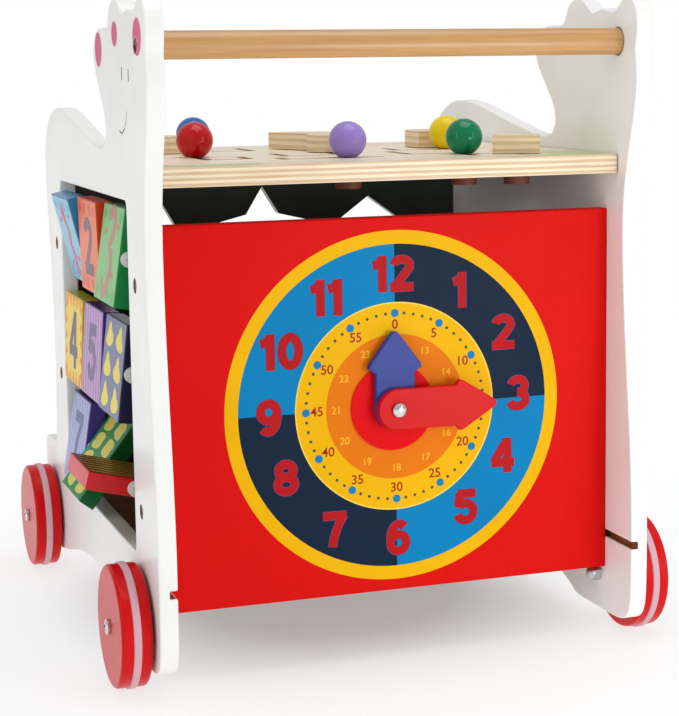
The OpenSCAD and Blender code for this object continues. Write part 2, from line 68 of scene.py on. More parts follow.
class Shader:
    """A material with a Principled shader, and short ways to add nodes to it."""

    def __init__(self, name, roughness=0.4, coat=0.0, metallic=0.0, specular=0.5):
        self.material = bpy.data.materials.new(name)
        self.material.use_nodes = True
        self.nodes = self.material.node_tree.nodes
        self.links = self.material.node_tree.links
        self.surface = self.nodes["Principled BSDF"]
        self.surface.inputs["Roughness"].default_value = roughness
        self.surface.inputs["Coat Weight"].default_value = coat
        self.surface.inputs["Coat Roughness"].default_value = 0.08
        self.surface.inputs["Metallic"].default_value = metallic
        self.surface.inputs["Specular IOR Level"].default_value = specular
        self.place = self.nodes.new("ShaderNodeTexCoord").outputs["Object"]

    def link(self, source, target):
        self.links.new(source, target)
        return target

    def scaled(self, scale, shift=(0, 0, 0)):
        node = self.nodes.new("ShaderNodeMapping")
        node.inputs["Scale"].default_value = scale
        node.inputs["Location"].default_value = shift
        self.link(self.place, node.inputs["Vector"])
        return node.outputs["Vector"]

    def noise(self, scale, detail, distortion=0.0, shift=(0, 0, 0)):
        node = self.nodes.new("ShaderNodeTexNoise")
        node.inputs["Scale"].default_value = 1.0
        node.inputs["Detail"].default_value = detail
        node.inputs["Distortion"].default_value = distortion
        self.link(self.scaled(scale, shift), node.inputs["Vector"])
        return node.outputs["Fac"]

    def ramp(self, source, stops):
        node = self.nodes.new("ShaderNodeValToRGB")
        elements = node.color_ramp.elements
        while len(elements) < len(stops):
            elements.new(0.5)
        for element, (at, rgba) in zip(elements, stops):
            element.position = at
            element.color = rgba
        self.link(source, node.inputs["Fac"])
        return node.outputs["Color"]

    def math(self, operation, *values):
        node = self.nodes.new("ShaderNodeMath")
        node.operation = operation
        for socket, value in zip(node.inputs, values):
            if isinstance(value, (int, float)):
                socket.default_value = value
            else:
                self.link(value, socket)
        return node.outputs["Value"]

    def mix(self, factor, first, second):
        node = self.nodes.new("ShaderNodeMix")
        node.data_type = "RGBA"
        # Inputs 0, 6 and 7 are the factor and the two colours
        for socket, value in zip((node.inputs[i] for i in (0, 6, 7)), (factor, first, second)):
            if isinstance(value, (int, float, tuple)):
                socket.default_value = value
            else:
                self.link(value, socket)
        return node.outputs[2]

    def paint_with(self, source):
        self.link(source, self.surface.inputs["Base Color"])

    def vary_roughness(self, source, low, high):
        node = self.nodes.new("ShaderNodeMapRange")
        node.inputs["To Min"].default_value = low
        node.inputs["To Max"].default_value = high
        self.link(source, node.inputs["Value"])
        self.link(node.outputs["Result"], self.surface.inputs["Roughness"])

    def bump(self, source, distance, strength):
        node = self.nodes.new("ShaderNodeBump")
        node.inputs["Strength"].default_value = strength
        node.inputs["Distance"].default_value = distance
        self.link(source, node.inputs["Height"])
        self.link(node.outputs["Normal"], self.surface.inputs["Normal"])


def lacquer(name, code, roughness=0.3, coat=0.5, shade=0.93, grain=900.0, specular=0.4):
    """Sprayed lacquer: a faint cloudiness, a little uneven gloss and a fine orange peel."""
    shader = Shader(name, roughness, coat, 0.0, specular)
    base = colour(code)
    darker = tuple(c * shade for c in base[:3]) + (1.0,)
    cloud = shader.noise((14, 14, 14), 4.0)
    shader.paint_with(shader.ramp(cloud, [(0.35, darker), (0.65, base)]))
    shader.vary_roughness(shader.noise((60, 60, 60), 2.0), roughness * 0.85, roughness * 1.2)
    shader.bump(shader.noise((grain, grain, grain), 2.0), 0.00002, 0.35)
    return shader.material


def ink(name, code, roughness=0.42):
    """Screen print: flat colour with a slightly uneven coverage."""
    return lacquer(name, code, roughness, coat=0.0, grain=2200.0, specular=0.07)


def grained_wood(name, light, dark, stretch, roughness=0.42, coat=0.25):
    """Solid wood with long fibres: stretch is the texture scale along X, Y and Z."""
    shader = Shader(name, roughness, coat)
    fibres = shader.noise(stretch, 6.0, 0.6)
    broad = shader.noise(tuple(s * 0.22 for s in stretch), 3.0, 1.2, (3, 1, 2))
    grain = shader.ramp(fibres, [(0.3, colour(dark)), (0.62, colour(light))])
    band = shader.ramp(broad, [(0.35, colour(dark)), (0.7, colour(light))])
    shader.paint_with(shader.mix(0.4, grain, band))
    shader.vary_roughness(fibres, roughness * 0.8, roughness * 1.25)
    shader.bump(fibres, 0.00008, 0.3)
    return shader.material


def plywood(name, bottom, thickness, plies, face, ply_light, ply_dark):
    """Plywood whose plies lie flat: veneer above and below, and stripes round the edge."""
    shader = Shader(name, 0.45, 0.2)
    separate = shader.nodes.new("ShaderNodeSeparateXYZ")
    shader.link(shader.place, separate.inputs["Vector"])
    level = shader.math("SUBTRACT", separate.outputs["Z"], bottom)
    wobble = shader.math("MULTIPLY", shader.noise((9, 9, 160), 3.0), thickness * 0.05)
    turns = shader.math("DIVIDE", shader.math("ADD", level, wobble), 2 * thickness / plies)
    wave = shader.math("PINGPONG", turns, 0.5)
    edge_soft = shader.ramp(wave, [(0.2, colour(ply_light)), (0.3, colour(ply_dark))])
    fibres = shader.noise((28, 28, 900), 4.0, 0.3)
    edge_fibre = shader.ramp(fibres, [(0.3, colour(ply_dark)), (0.6, colour(ply_light))])
    edge = shader.mix(0.35, edge_soft, edge_fibre)
    veneer_grain = shader.noise((22, 260, 260), 6.0, 0.5)
    light = colour(face)
    dark = tuple(c * 0.84 for c in light[:3]) + (1.0,)
    veneer = shader.ramp(veneer_grain, [(0.32, dark), (0.66, light)])
    geometry = shader.nodes.new("ShaderNodeNewGeometry")
    facing = shader.nodes.new("ShaderNodeSeparateXYZ")
    shader.link(geometry.outputs["True Normal"], facing.inputs["Vector"])
    flat = shader.math("GREATER_THAN", shader.math("ABSOLUTE", facing.outputs["Z"]), 0.8)
    shader.paint_with(shader.mix(flat, edge, veneer))
    shader.vary_roughness(fibres, 0.4, 0.6)
    shader.bump(fibres, 0.00006, 0.3)
    return shader.material


def metal(name, code, roughness=0.25, scratch=0.08):
    shader = Shader(name, roughness, 0.0, 1.0)
    base = colour(code)
    dull = tuple(c * 0.86 for c in base[:3]) + (1.0,)
    lines = shader.noise((700, 700, 700), 4.0)
    shader.paint_with(shader.ramp(lines, [(0.35, dull), (0.6, base)]))
    shader.vary_roughness(lines, roughness, roughness + scratch)
    shader.bump(lines, 0.00001, 0.2)
    return shader.material


def soft_plastic(name, code, roughness=0.5, coat=0.0):
    return lacquer(name, code, roughness, coat, shade=0.94, grain=1600.0)


# ---------------------------------------------------------------- pieces


def add_piece(name, mesh, material, body, stands_for=()):
    """Links a mesh as a piece that rides on a body."""
    mesh.materials.clear()
    mesh.materials.append(material)
    piece = bpy.data.objects.new(name, mesh)
    scene.collection.objects.link(piece)
    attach(piece, body)
    if stands_for:
        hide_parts(*stands_for)
    return piece


def finish_node(node, material):
    """Gives a CAD node its material."""
    mesh = frame["nodes"][node].data
    mesh.materials.clear()
    mesh.materials.append(material)


def loops_of(edges):
    """Groups of edges that hang together."""
    left, groups = set(edges), []
    while left:
        group, queue = [], [left.pop()]
        while queue:
            edge = queue.pop()
            group.append(edge)
            near = [e for v in edge.verts for e in v.link_edges if e in left]
            left.difference_update(near)
            queue.extend(near)
        groups.append(group)
    return groups


def spread(edges):
    """Diagonal of the box round some edges; an edge that stands alone counts as nothing."""
    points = [v.co for e in edges for v in e.verts]
    if len(points) <= 2:
        return 0.0
    return (Vector(map(max, *points)) - Vector(map(min, *points))).length


def rounded(node, material, radius, steps=3, smallest=0.03):
    """A copy of a CAD node with its long sharp edges rounded, shown in place of the node."""
    bm = bmesh.new()
    bm.from_mesh(frame["nodes"][node].data)
    bmesh.ops.remove_doubles(bm, verts=bm.verts, dist=2e-6)
    bmesh.ops.dissolve_limit(
        bm, angle_limit=math.radians(0.4), verts=bm.verts, edges=bm.edges, delimit={"SHARP"}
    )
    sharp = [e for e in bm.edges if e.is_manifold and e.calc_face_angle(0) > math.radians(38)]
    chosen = [e for group in loops_of(sharp) if spread(group) > smallest for e in group]
    bmesh.ops.bevel(
        bm, geom=chosen, offset=radius, segments=steps, profile=0.5, affect="EDGES",
        clamp_overlap=True, miter_outer="SHARP"
    )
    mesh = bpy.data.meshes.new(node + "_rounded")
    bm.to_mesh(mesh)
    bm.free()
    mesh.shade_smooth()
    mesh.set_sharp_from_angle(angle=math.radians(36))
    piece = add_piece(node + "_rounded", mesh, material, body_of[node], [node])
    weighted = piece.modifiers.new("even_shading", "WEIGHTED_NORMAL")
    weighted.keep_sharp = True


FONT_CAP_HEIGHT = 0.69  # height of a figure in the built-in font, as a part of its size
PRINT_BASE, PRINT_STEP = 0.06, 0.05  # lowest print's thickness and what a layer adds, in mm
DIGIT_WIDTH, ONE_WIDTH, DIGIT_SQUEEZE = 0.81, 0.5, 0.93  # for a height of one


class Plane:
    """A flat place to print on: an origin, the reading direction and the way up, in metres."""

    def __init__(self, origin, right, up):
        self.origin, self.right, self.up = Vector(origin), Vector(right), Vector(up)
        self.out = self.right.cross(self.up)

    def matrix(self, lift):
        columns = Matrix((self.right, self.up, self.out)).transposed().to_4x4()
        return Matrix.Translation(self.origin + self.out * lift) @ columns


class Print:
    """Artwork on one plane. Shapes are in millimetres and are joined into a piece per ink."""

    def __init__(self, name, plane, body, slot):
        self.name, self.plane, self.body, self.slot = name, plane, body, slot
        self.parts = {}

    def add_curve(self, curve, material, layer, move=Matrix.Identity(4)):
        """Turns a filled curve into a thin plate on the plane; a higher layer is thicker."""
        height = PRINT_BASE + PRINT_STEP * layer
        curve.fill_mode = "BOTH"
        curve.extrude = height / 2
        holder = bpy.data.objects.new("holder", curve)
        scene.collection.objects.link(holder)
        graph = bpy.context.evaluated_depsgraph_get()
        mesh = bpy.data.meshes.new_from_object(holder.evaluated_get(graph))
        bpy.data.objects.remove(holder)
        mesh.transform(self.plane.matrix(height / 2 * MM) @ Matrix.Scale(MM, 4) @ move)
        self.parts.setdefault(material.name, []).append(mesh)

    def outline(self, loops, material, layer=1):
        """Fills closed loops of points; a loop inside another is a hole."""
        curve = bpy.data.curves.new("outline", "CURVE")
        curve.dimensions = "2D"
        for loop in loops:
            spline = curve.splines.new("POLY")
            spline.points.add(len(loop) - 1)
            for point, (u, v) in zip(spline.points, loop):
                point.co = (u, v, 0, 1)
            spline.use_cyclic_u = True
        self.add_curve(curve, material, layer)

    def text(self, words, centre, height, material, layer, weight):
        """Writes a number in the built-in font, centred, with its height in millimetres."""
        curve = bpy.data.curves.new("words", "FONT")
        curve.body = words
        curve.size = height / FONT_CAP_HEIGHT
        curve.offset = weight
        curve.resolution_u = 4
        curve.align_x, curve.align_y = "CENTER", "CENTER"
        self.add_curve(curve, material, layer, Matrix.Translation((*centre, 0)))

    def digits(self, words, centre, height, material, layer, half=0.115):
        """Writes a number in bold digits; half is half a stroke's width at a height of one."""
        widths = [ONE_WIDTH if digit == "1" else DIGIT_WIDTH for digit in words]
        at = -sum(widths) / 2
        for digit, width in zip(words, widths):
            for step, path in enumerate(DIGITS[digit]):
                moved = [
                    (centre[0] + (DIGIT_SQUEEZE * u + at + width / 2) * height,
                     centre[1] + v * height)
                    for u, v in path
                ]
                # Strokes overlap, so each stands a little higher than the last
                self.outline(ribbon(moved, half * height), material, layer + 0.25 * step)
            at += width

    def press(self):
        """Makes one piece for each ink."""
        for ink_name, meshes in self.parts.items():
            bm = bmesh.new()
            for mesh in meshes:
                bm.from_mesh(mesh)
                bpy.data.meshes.remove(mesh)
            bmesh.ops.remove_doubles(bm, verts=bm.verts, dist=1e-7)
            mesh = bpy.data.meshes.new(f"{self.name}_{ink_name}")
            bm.to_mesh(mesh)
            bm.free()
            material = bpy.data.materials[ink_name]
            add_piece(f"{self.name}_{ink_name}", mesh, material, self.body)


def circle(centre, radius, points=48, wide=1.0, turn=0.0):
    """Points of a circle or, with wide, of an ellipse."""
    loop = []
    for i in range(points):
        a = 2 * math.pi * i / points
        u, v = radius * wide * math.cos(a), radius * math.sin(a)
        c, s = math.cos(turn), math.sin(turn)
        loop.append((centre[0] + u * c - v * s, centre[1] + u * s + v * c))
    return loop


def sector(centre, inner, outer, start, end, points=60):
    """Part of a ring between two angles in degrees."""
    angles = [math.radians(start + (end - start) * i / points) for i in range(points + 1)]
    outside = [(centre[0] + outer * math.cos(a), centre[1] + outer * math.sin(a)) for a in angles]
    inside = [(centre[0] + inner * math.cos(a), centre[1] + inner * math.sin(a)) for a in angles]
    return outside + inside[::-1]


def rectangle(u0, v0, u1, v1):
    return [(u0, v0), (u1, v0), (u1, v1), (u0, v1)]


def arc(centre, wide, high, start, end, points=28):
    """Points along part of an ellipse, between two angles in degrees."""
    angles = [math.radians(start + (end - start) * i / points) for i in range(points + 1)]
    return [(centre[0] + wide * math.cos(a), centre[1] + high * math.sin(a)) for a in angles]


def ribbon(path, half):
    """Outline of a band of even width along a path, as loops of points."""
    closed = math.dist(path[0], path[-1]) < 1e-6
    left, right = [], []
    for i, (u, v) in enumerate(path):
        before = path[i - 1 if i else (-2 if closed else 0)]
        after = path[i + 1 if i + 1 < len(path) else (1 if closed else i)]
        side = Vector((before[1] - after[1], after[0] - before[0])).normalized() * half
        left.append((u + side.x, v + side.y))
        right.append((u - side.x, v - side.y))
    if closed:
        return [left[:-1], right[:-1]]
    return [left + right[::-1]]


# Centre lines of bold digits, one unit high
SIX = [arc((0.01, -0.15), 0.25, 0.235, 0, 360), arc((0.03, 0), 0.27, 0.385, 50, 200)]
DIGITS = {
    "0": [arc((0, 0), 0.255, 0.385, 0, 360)],
    "1": [[(0.1, -0.5), (0.1, 0.5)], [(-0.2, 0.24), (-0.04, 0.27), (0.09, 0.4)]],
    "2": [arc((0, 0.205), 0.255, 0.18, 170, -25) + [(0.03, -0.1), (-0.24, -0.37)],
          [(-0.37, -0.385), (0.37, -0.385)]],
    "3": [arc((-0.02, 0.195), 0.235, 0.19, 165, -95), arc((-0.02, -0.19), 0.265, 0.195, 95, -165)],
    "4": [[(0.15, -0.5), (0.15, 0.5)], [(-0.38, -0.2), (0.38, -0.2)],
          [(-0.3, -0.17), (0.12, 0.43)]],
    "5": [[(-0.26, 0.385), (0.33, 0.385)], [(-0.19, 0.42), (-0.24, -0.01)],
          arc((-0.01, -0.14), 0.265, 0.245, 140, -162)],
    "6": SIX,
    "7": [[(-0.37, 0.385), (0.37, 0.385)],
          [(0.28, 0.38), (0.12, 0.14), (0.01, -0.12), (-0.06, -0.34), (-0.08, -0.5)]],
    "8": [arc((0, 0.2), 0.225, 0.185, 0, 360), arc((0, -0.185), 0.26, 0.2, 0, 360)],
    "9": [[(-u, -v) for u, v in path] for path in SIX],
}


def clock_place(centre, radius, hour):
    """Where an hour stands on a dial."""
    a = math.radians(90 - 30 * hour)
    return centre[0] + radius * math.cos(a), centre[1] + radius * math.sin(a)


def smooth_loop(points, steps=6):
    """Closed smooth curve through points."""
    loop, n = [], len(points)
    for i in range(n):
        a, b, c, d = (Vector(points[(i + k) % n]) for k in (-1, 0, 1, 2))
        for s in range(steps):
            t = s / steps
            p = 0.5 * (2 * b + (c - a) * t + (2 * a - 5 * b + 4 * c - d) * t * t
                       + (3 * b - a - 3 * c + d) * t ** 3)
            loop.append((p.x, p.y))
    return loop


def placed(shape, centre, turn):
    """Turns and moves a list of points."""
    c, s = math.cos(turn), math.sin(turn)
    return [(centre[0] + u * c - v * s, centre[1] + u * s + v * c) for u, v in shape]


# ---------------------------------------------------------------- side panels, boards, wheels


GROOVE_RISE = 0.2 * MM  # the groove's middle stands this far above the floor board's
GROOVE_HALF = 2.54 * MM
GROOVE_SLACK = 0.6 * MM  # sideways room past the floor board's edge
PAINT_SKIN = 0.3 * MM  # depth below the inner face where raw board starts
SUNK_BY = 0.15 * MM  # depth below the outer face where a screw hole is raw
SCREW_HOLE = 5.15 * MM  # radius round a screw's middle that is raw
SCREW_GROUP = 12 * MM  # points nearer than this belong to one screw


def side_paint():
    """White lacquer, with raw brown fibreboard in the floor board's groove and the screw holes."""
    shader = Shader("white_lacquer_paint", 0.34, 0.15)
    cloud = shader.noise((14, 14, 14), 4.0)
    paint = shader.ramp(cloud, [(0.35, colour("efefec")), (0.65, colour("f5f5f3"))])
    fibre = shader.noise((300, 300, 300), 4.0)
    raw = shader.ramp(fibre, [(0.3, colour("6b4526")), (0.7, colour("a27348"))])
    separate = shader.nodes.new("ShaderNodeSeparateXYZ")
    shader.link(shader.place, separate.inputs[0])
    across, depth, height = (separate.outputs[axis] for axis in "XYZ")
    across = shader.math("ABSOLUTE", across)
    low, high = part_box("floor_board")
    panel_low, panel_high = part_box("right_side_panel")
    above_middle = shader.math("SUBTRACT", height, (low.z + high.z) / 2 + GROOVE_RISE)
    level = shader.math("LESS_THAN", shader.math("ABSOLUTE", above_middle), GROOVE_HALF)
    not_past = shader.math("LESS_THAN", across, high.x + GROOVE_SLACK)
    below_skin = shader.math("GREATER_THAN", across, panel_low.x + PAINT_SKIN)
    raw_part = shader.math("MULTIPLY", shader.math("MULTIPLY", level, not_past), below_skin)
    sunk = shader.math("LESS_THAN", across, panel_high.x - SUNK_BY)
    for at in screw_centres():
        measure = shader.nodes.new("ShaderNodeVectorMath")
        measure.operation = "DISTANCE"
        flat = shader.nodes.new("ShaderNodeCombineXYZ")
        shader.link(depth, flat.inputs["Y"])
        shader.link(height, flat.inputs["Z"])
        shader.link(flat.outputs[0], measure.inputs[0])
        measure.inputs[1].default_value = at
        near = shader.math("LESS_THAN", measure.outputs["Value"], SCREW_HOLE)
        raw_part = shader.math("MAXIMUM", raw_part, shader.math("MULTIPLY", near, sunk))
    shader.paint_with(shader.mix(raw_part, paint, raw))
    shader.vary_roughness(shader.noise((60, 60, 60), 2.0), 0.3, 0.42)
    shader.bump(shader.noise((700, 700, 700), 2.0), 0.00002, 0.35)
    return shader.material


def screw_centres():
    """Depth and height of the screws in a side panel, as points with no sideways part."""
    centres = []
    for node in ("panel_bolts", "handle_bolts"):
        groups = {}
        for v in frame["nodes"][node].data.vertices:
            if v.co.x > 0:
                at = v.co.yz
                same = (key for key in groups if (Vector(key) - at).length < SCREW_GROUP)
                groups.setdefault(next(same, tuple(at)), []).append(at)
        for points in groups.values():
            low = Vector(map(min, *points))
            high = Vector(map(max, *points))
            centres.append((0, (low.x + high.x) / 2, (low.y + high.y) / 2))
    return centres


def make_body():
    white = side_paint()
    for side in ("left", "right"):
        rounded(f"{side}_side_panel", white, 1.3 * MM)
    red = lacquer("red_panel_paint", "d9110e", 0.4, 0.0, shade=0.96, grain=500.0, specular=0.05)
    rounded("clock_panel", red, 0.8 * MM)
    rounded("sorter_panel", sorter_paint(), 0.5 * MM, 2)
    hardboard = grained_wood("raw_hardboard", "8a5a34", "6d4426", (120, 120, 400), 0.75, 0.0)
    finish_node("floor_board", hardboard)
    low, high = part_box("top_board")
    board = plywood("board_ply", low.z, high.z - low.z, 7, "f3e6d0", "f1e1c4", "cba678")
    rounded("top_board", board, 0.6 * MM, 2)
    beech = grained_wood("handle_beech", "d0a066", "b5824c", (14, 340, 340), 0.36, 0.2)
    rounded("handle", beech, 0.4 * MM, 2, 0.045)
    finish_node("board_dowels", grained_wood("dowel_wood", "d9b98c", "bb9464", (14, 300, 300)))
    zinc = metal("zinc_plated", "c9c9cc", 0.3)
    for node in ("handle_bolts", "panel_bolts", "tile_rods", "axle_nuts", "clock_pivot_nut"):
        finish_node(node, zinc)
    chrome = metal("polished_chrome", "e2e2e5", 0.12)
    for node in ("axle_bolts", "clock_pivot_bolt"):
        finish_node(node, chrome)
    washer = soft_plastic("washer_white", "eceae8", 0.35, 0.3)
    for node in ("tile_washers", "axle_washers"):
        finish_node(node, washer)


def sorter_paint():
    """Dark green lacquer on the faces, paler in the sawn cut-outs."""
    shader = Shader("sorter_green_paint", 0.45, 0.2)
    geometry = shader.nodes.new("ShaderNodeNewGeometry")
    facing = shader.nodes.new("ShaderNodeSeparateXYZ")
    shader.link(geometry.outputs["True Normal"], facing.inputs["Vector"])
    face = shader.math("GREATER_THAN", shader.math("ABSOLUTE", facing.outputs["Y"]), 0.6)
    cloud = shader.noise((20, 20, 20), 4.0)
    flat = shader.ramp(cloud, [(0.35, colour("1c2b20")), (0.65, colour("22332a"))])
    saw_marks = shader.noise((90, 500, 90), 4.0)
    sawn = shader.ramp(saw_marks, [(0.35, colour("5f7462")), (0.65, colour("7f927e"))])
    shader.paint_with(shader.mix(face, sawn, flat))
    shader.vary_roughness(cloud, 0.4, 0.55)
    shader.bump(shader.noise((800, 800, 800), 2.0), 0.00002, 0.35)
    return shader.material


def make_wheels():
    red = lacquer("wheel_red_gloss", "d00e12", 0.24, 0.0, shade=0.95, grain=420.0, specular=0.14)
    rubber = soft_plastic("ring_rubber", "d6a8b2", 0.55)
    for end in ("front", "rear"):
        for side in ("left", "right"):
            finish_node(f"wheel_{end}_{side}", red)
            finish_node(f"tyre_{end}_{side}", rubber)


# ---------------------------------------------------------------- clock


# Centres of the printed hours 1 to 12, in millimetres from the dial's centre
HOUR_PLACES = [
    (45.2, 74.5), (76.6, 45.0), (87.6, 3.0), (76.2, -39.0), (49.0, -71.8), (0.7, -88.2),
    (-43.1, -78.5), (-75.8, -41.4), (-86.4, -1.2), (-77.4, 41.0), (-47.0, 74.1), (-0.9, 87.6),
]
# Radii of the dial's rings, from the rim inwards, in millimetres
RIM, HOURS_OUT, HOURS_IN, MINUTES_OUT, MINUTES_IN, CENTRE_HOLE = 116, 107, 69, 68.2, 48, 20
DOT_RING = 61.7
HOUR_HEIGHT = 23.7
# Ring and height of the minute labels and of the hours 13 to 24, and their extra weight
MINUTE_RING, MINUTE_HEIGHT = 54.2, 6.0
LATE_RING, LATE_HEIGHT = 41, 4.6
LABEL_WEIGHT = 0.12
DIAL_SHIFT = 2.3 * MM  # the print's middle stands this far to the right of the pivot
HAND_ROUND = 0.7 * MM


def make_clock():
    inks = {
        "yellow": ink("dial_yellow", "f0b600"),
        "blue": ink("dial_light_blue", "0080ba"),
        "navy": ink("dial_navy", "12253c"),
        "numeral": ink("dial_numeral_red", "b8161c"),
        "halo": ink("dial_numeral_halo", "5a4a78"),
        "pale": ink("dial_pale_line", "f7d860"),
        "label": ink("dial_label_red", "a8321a"),
        "dot": ink("dial_dot_grey", "4a5a4a"),
        "dot_blue": ink("dial_dot_blue", "1580b8"),
        "orange": ink("dial_orange", "e87a08"),
        "gold": ink("dial_gold", "f8b62a"),
    }
    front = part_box("clock_panel")[0].y
    pivot = joint_at["hour_hand"]
    plane = Plane((pivot.x + DIAL_SHIFT, front, pivot.z), X, Z)
    dial = Print("dial", plane, body_of["clock_panel"], slot_of["clock_panel"])
    middle = (0.0, 0.0)
    dial.outline([circle(middle, RIM, 160), circle(middle, HOURS_OUT, 160)], inks["yellow"])
    for start, name in ((0, "navy"), (90, "blue"), (180, "navy"), (270, "blue")):
        dial.outline([sector(middle, HOURS_IN, HOURS_OUT, start, start + 90)], inks[name])
    dial.outline([circle(middle, HOURS_IN, 128), circle(middle, MINUTES_OUT, 128)], inks["pale"])
    minutes = [circle(middle, MINUTES_OUT, 128), circle(middle, MINUTES_IN, 128)]
    dial.outline(minutes, inks["yellow"])
    dial.outline([circle(middle, MINUTES_IN, 96), circle(middle, CENTRE_HOLE, 48)], inks["orange"])
    for hour, at in enumerate(HOUR_PLACES, 1):
        dial.digits(str(hour), at, HOUR_HEIGHT, inks["halo"], 2, 0.134)
        dial.digits(str(hour), at, HOUR_HEIGHT, inks["numeral"], 3, 0.116)
        minute_at, late_at = (clock_place(middle, ring, hour) for ring in (MINUTE_RING, LATE_RING))
        dial.text(str(hour % 12 * 5), minute_at, MINUTE_HEIGHT, inks["label"], 2, LABEL_WEIGHT)
        dial.text(str(hour + 12), late_at, LATE_HEIGHT, inks["gold"], 2, LABEL_WEIGHT)
    big = [circle(clock_place(middle, DOT_RING, h), 2.7, 20) for h in range(12)]
    dial.outline(big, inks["dot_blue"], 2)
    small = [circle(clock_place(middle, DOT_RING, m / 5), 1.05, 12) for m in range(60) if m % 5]
    dial.outline(small, inks["dot"], 2)
    dial.press()
    finish_node("clock_disc", lacquer("clock_disc_red", "e60811", 0.42, 0.0, specular=0.06))
    violet = lacquer("hour_hand_violet", "2e4092", 0.32, 0.05, specular=0.12)
    rounded("hour_hand", violet, HAND_ROUND)
    red = lacquer("minute_hand_red_paint", "d40c10", 0.34, 0.0, specular=0.12)
    rounded("minute_hand", red, HAND_ROUND)


# ---------------------------------------------------------------- face


def make_face():
    """The simple printed animal face, on the outer face of each side panel."""
    pink = ink("face_pink", "d9698f")
    dark = ink("face_grey_line", "6e6a70")
    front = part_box("clock_panel")[0].y
    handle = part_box("handle")
    centre = (handle[0].z + handle[1].z) / 2
    for side, sign in (("left", -1), ("right", 1)):
        node = f"{side}_side_panel"
        low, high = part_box(node)
        outer = low.x if sign < 0 else high.x
        plane = Plane((outer, front, centre), Y * sign, Z)
        art = Print(f"face_{side}", plane, body_of[node], slot_of[node])

        def at(y, z, s=sign):
            return (y * s, z)

        hole = circle(at(-14, 0), 5.4, 32)
        art.outline([circle(at(-19.5, 5), 11.3, 48, 1.02), hole], pink)
        art.outline([circle(at(46, 8), 7.9, 48, 1.05)], pink)
        art.outline([circle(at(98.5, -1.4), 11.4, 48, 0.93)], pink)
        for y, z0, z1 in ((27, -21, -13), (7.5, -22, -14)):
            line = [at(y - 0.8, z0), at(y + 0.8, z0), at(y + 0.8, z1), at(y - 0.8, z1)]
            art.outline([line], dark)
        mouth = [(15, -40.5), (18, -46.5), (22.5, -51), (30.5, -54.3), (38, -53)]
        upper = [at(y, z + 0.5) for y, z in mouth]
        lower = [at(y, z - 0.5) for y, z in reversed(mouth)]
        art.outline([upper + lower], dark)
        art.press()


# ---------------------------------------------------------------- number tiles

PEAR = [(0, 11.5), (2.4, 7.5), (3.6, 3), (6.2, -2), (6.6, -6.5), (3.8, -10.2), (0, -11),
        (-3.8, -10.2), (-6.6, -6.5), (-6.2, -2), (-3.6, 3), (-2.4, 7.5)]
NUT = [(0, 10.5), (4.2, 9), (5.6, 5), (5.2, 0.6), (5.8, -4.6), (4.6, -9), (0, -10.6),
       (-4.6, -9), (-5.8, -4.6), (-5.2, 0.6), (-5.6, 5), (-4.2, 9)]
LEAF = [(0, 9), (4.5, 3), (4.2, -4), (0, -9), (-4.2, -4), (-4.5, 3)]
DROP = [(0, 9), (5.5, -1), (4.4, -6.8), (0, -9), (-4.4, -6.8), (-5.5, -1)]

# Edge colour, face colour, second colour, numeral colour and the shape that is counted
TILES = {
    1: ("2f86b4", "93c6e0", "6fb0d6", "c46a8c", LEAF),
    2: ("d8401a", "f2825a", "e0604e", "7d6478", DROP),
    3: ("108a40", "8fc98a", "76bb74", "c98c80", LEAF),
    4: ("c9b41e", "f6d74e", "ee8c3c", "6f5a7c", DROP),
    5: ("4a2a82", "cda4d2", "a884bc", "72648c", NUT),
    6: ("1a1a40", "7a80a6", "6a7098", "f2dc5e", PEAR),
    7: ("4e3c92", "9aa2d2", "b2b8e0", "6a6c9c", LEAF),
    8: ("0c6a34", "2f8f56", "389a58", "e0d668", NUT),
    9: ("d8161a", "33220c", "dca238", "140d04", PEAR),
}

TILE_RIM = 0.9  # unprinted edge round a tile's picture, in millimetres
TILE_DIGIT = 42.0  # height of a tile's numeral, in millimetres
FIGURE_WIDEST, FIGURE_TALLEST = 26.0, 44.0  # in millimetres
FILL_WIDE, FILL_HIGH = 1.3, 1.62  # a figure's width and height, in half cells
TOOTH_PITCH, TOOTH_HALF = 12, 4.5  # spacing and half width of tile 4's triangles

# Centre lines of the two wavy numerals, in millimetres
WAVY = {
    1: [(-7, 17), (2, 26), (-1, 15), (4, 6), (-2, -3), (3, -12), (-1, -19), (2, -27)],
    3: [(-8, 26), (2, 29), (9, 23), (8, 14), (-2, 5), (6, 1), (9, -9), (4, -19), (-4, -27),
        (-10, -25)],
}


def tile_planes(number):
    """The outward and inward faces of a tile as planes, and half its width and height in mm."""
    node = f"tile_{number}"
    mesh = frame["nodes"][node].data
    pivot = joint_at[node]
    leftward = [p for p in mesh.polygons if abs(p.normal.y) < 0.1 and p.normal.x < 0]
    face = max(leftward, key=face_size(mesh))
    out = face.normal.copy()
    up = Y.cross(out) if Y.cross(out).z > 0 else out.cross(Y)
    points = [v.co - pivot for v in mesh.vertices]
    half_t = max(p.dot(out) for p in points)
    half_v = max(p.dot(up) for p in points)
    half_u = max(p.y for p in points)
    outer = Plane(pivot + out * half_t, up.cross(out), up)
    inner = Plane(pivot - out * half_t, up.cross(-out), up)
    return outer, inner, half_u / MM, half_v / MM


def face_size(mesh):
    """Sorts polygons by the whole area that faces their way."""
    def size(polygon):
        return sum(p.area for p in mesh.polygons if p.normal.dot(polygon.normal) > 0.999)
    return size


